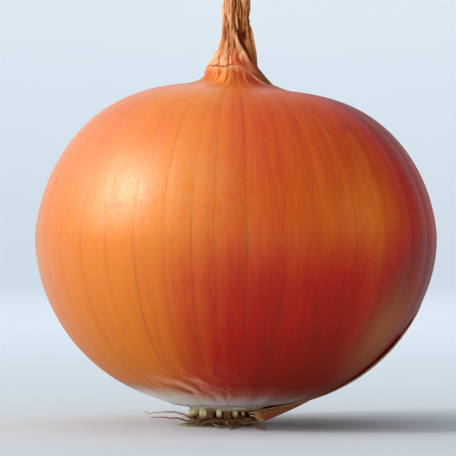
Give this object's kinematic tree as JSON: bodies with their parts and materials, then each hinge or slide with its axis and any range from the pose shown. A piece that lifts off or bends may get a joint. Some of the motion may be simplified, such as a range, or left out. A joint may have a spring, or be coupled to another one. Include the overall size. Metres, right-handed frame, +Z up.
{
  "type": "onion",
  "caption": "Whole cured onion: round copper-skinned bulb with a twisted dry neck, a pale root plate with a flat root tuft to rest on, and a torn flap of outer skin.",
  "frame": {"origin": "on the resting surface, under the middle of the bulb", "axes": "+Z up through the neck; -Y is the side that the picture shows; +X is to the right in the picture"},
  "size_m": [0.08, 0.0802, 0.0957],
  "materials": {
    "bulb_skin": "satin, thin dry onion skin over the flesh, golden orange to copper red with dark veins",
    "neck_sheath": "dry, fibrous leaf sheaths, straw to brown",
    "outer_skin": "brittle papery outer skin, copper brown",
    "root_plate": "corky, pale yellow green",
    "dry_roots": "dry, fibrous, dark brown"
  },
  "bodies": {
    "root": {"bulb": "bulb_skin", "dried_neck": "neck_sheath", "outer_skin_remnant": "outer_skin", "root_plate": "root_plate", "root_tuft": "dry_roots"}
  },
  "joints": []
}
